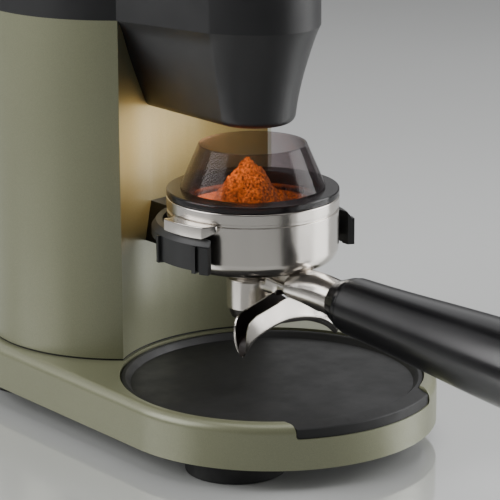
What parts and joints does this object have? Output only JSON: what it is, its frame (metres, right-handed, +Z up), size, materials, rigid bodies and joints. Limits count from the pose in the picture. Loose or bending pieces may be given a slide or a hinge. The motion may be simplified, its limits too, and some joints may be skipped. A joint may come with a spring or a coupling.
{
  "type": "burr coffee grinder",
  "caption": "Electric burr coffee grinder with smoked bean hopper, adjusting ring, conical burrs, motor drive and a portafilter docked under its spout.",
  "frame": {"origin": "on the ground, under the middle of the bounding box", "axes": "+Z up, +X to the right of someone facing the spout, -Y towards the user (the portafilter handle points to -Y)"},
  "size_m": [0.135, 0.345, 0.385],
  "materials": {
    "painted_shell": "satin metallic lacquer, pale sage green",
    "mat_rubber": "matt, fine grain",
    "foot_rubber": "matt",
    "seal_rubber": "matt",
    "plate_steel": "zinc plated sheet",
    "fastener_steel": "bright zinc",
    "black_plastic": "fine moulded texture",
    "head_plastic": "fine spark texture",
    "board_green": "solder mask",
    "component_plastic": "moulded",
    "wire_pvc": "PVC",
    "cast_alloy": "as cast",
    "bearing_steel": "ground",
    "gear_brass": "machined",
    "gear_nylon": "moulded nylon",
    "motor_steel": "drawn, zinc plated",
    "magnet_black": "sintered ferrite",
    "brush_carbon": "carbon",
    "rotor_copper": "windings and laminations",
    "burr_steel": "hardened, machined",
    "hopper_smoke": "smoked clear moulding",
    "lid_plastic": "smoked moulding",
    "portafilter_chrome": "polished",
    "basket_steel": "pressed, polished",
    "grip_plastic": "satin gloss",
    "funnel_smoke": "smoked clear moulding"
  },
  "bodies": {
    "housing": {"base_casting": "painted_shell", "base_plate": "plate_steel", "rubber_feet": "foot_rubber", "foot_screws": "fastener_steel", "cord_gland": "black_plastic", "column_gasket": "seal_rubber", "column_shell": "painted_shell", "column_screws": "fastener_steel", "control_board": "board_green", "board_components": "component_plastic", "wiring_harness": "wire_pvc", "switch_bezel": "black_plastic", "chassis_plate": "plate_steel", "chassis_screws": "fastener_steel", "gearbox_housing": "cast_alloy", "gearbox_cover": "cast_alloy", "spindle_bearings": "bearing_steel", "idler_pin": "fastener_steel", "motor_dampers": "foot_rubber", "motor_can": "motor_steel", "motor_end_cap": "black_plastic", "motor_magnets": "magnet_black", "motor_brushes": "brush_carbon", "burr_chamber": "cast_alloy", "shaft_seal": "seal_rubber", "grounds_chute": "head_plastic", "head_cover": "head_plastic", "spout_shroud": "head_plastic", "fork": "black_plastic", "fork_screws": "fastener_steel", "microswitch": "black_plastic"},
    "drip_mat": {"drip_mat": "mat_rubber"},
    "rocker": {"rocker_switch": "black_plastic"},
    "dock_button": {"dock_button": "black_plastic", "button_spring": "bearing_steel"},
    "spindle": {"burr_spindle": "bearing_steel", "output_gear": "gear_brass", "sweeper": "gear_nylon", "cone_burr": "burr_steel", "burr_nut": "fastener_steel"},
    "idler": {"idler_gear": "gear_nylon"},
    "rotor": {"motor_rotor": "rotor_copper", "motor_pinion": "gear_brass"},
    "adjuster": {"adjusting_ring": "head_plastic"},
    "carrier": {"burr_carrier": "gear_brass", "ring_burr": "burr_steel"},
    "hopper": {"hopper": "hopper_smoke", "hopper_collar": "head_plastic"},
    "lid": {"hopper_lid": "lid_plastic", "lid_seal": "seal_rubber"},
    "portafilter": {"portafilter_body": "portafilter_chrome", "filter_basket": "basket_steel", "basket_spring": "bearing_steel", "double_spout": "portafilter_chrome", "handle_tang": "fastener_steel", "handle_ferrule": "grip_plastic", "handle_grip": "grip_plastic", "handle_end_cap": "grip_plastic"},
    "funnel": {"dosing_funnel": "funnel_smoke"}
  },
  "joints": [
    {"name": "lift_mat", "type": "slide", "parent": "housing", "child": "drip_mat", "axis": [0, 0, 1], "range_m": [0, 0.012]},
    {"name": "power_rocker", "type": "hinge", "parent": "housing", "child": "rocker", "pos_m": [0.0595, 0.105, 0.062], "axis": [0, 1, 0], "range_deg": [0, 20]},
    {"name": "press_dock_button", "type": "slide", "parent": "housing", "child": "dock_button", "axis": [0, 1, 0], "range_m": [0, 0.002], "stiffness_N_per_m": 400},
    {"name": "burr_drive", "type": "hinge", "parent": "housing", "child": "spindle", "pos_m": [0, 0.105, 0.18], "axis": [0, 0, 1], "continuous": true},
    {"name": "idler_turn", "type": "hinge", "parent": "housing", "child": "idler", "pos_m": [0.02257, 0.11983, 0.13], "axis": [0, 0, 1], "continuous": true},
    {"name": "rotor_turn", "type": "hinge", "parent": "housing", "child": "rotor", "pos_m": [0, 0.128, 0.08], "axis": [0, 0, 1], "continuous": true},
    {"name": "grind_adjust", "type": "hinge", "parent": "housing", "child": "adjuster", "pos_m": [0, 0.105, 0.24], "axis": [0, 0, 1], "range_deg": [-60, 60]},
    {"name": "carrier_travel", "type": "slide", "parent": "adjuster", "child": "carrier", "axis": [0, 0, 1], "range_m": [-0.0003, 0.0003]},
    {"name": "lift_hopper", "type": "slide", "parent": "adjuster", "child": "hopper", "axis": [0, 0, 1], "range_m": [0, 0.05]},
    {"name": "lift_lid", "type": "slide", "parent": "hopper", "child": "lid", "axis": [0, 0, 1], "range_m": [0, 0.06]},
    {"name": "slide_out_portafilter", "type": "slide", "parent": "housing", "child": "portafilter", "axis": [0, -1, 0], "range_m": [0, 0.15]},
    {"name": "lift_funnel", "type": "slide", "parent": "portafilter", "child": "funnel", "axis": [0, 0, 1], "range_m": [0, 0.008]}
  ],
  "couplings": [
    {"joint": "idler_turn", "follows": "burr_drive", "ratio": -2.8571},
    {"joint": "rotor_turn", "follows": "burr_drive", "ratio": 8.5714},
    {"joint": "carrier_travel", "follows": "grind_adjust", "m_per_rad": 0.00023873}
  ]
}
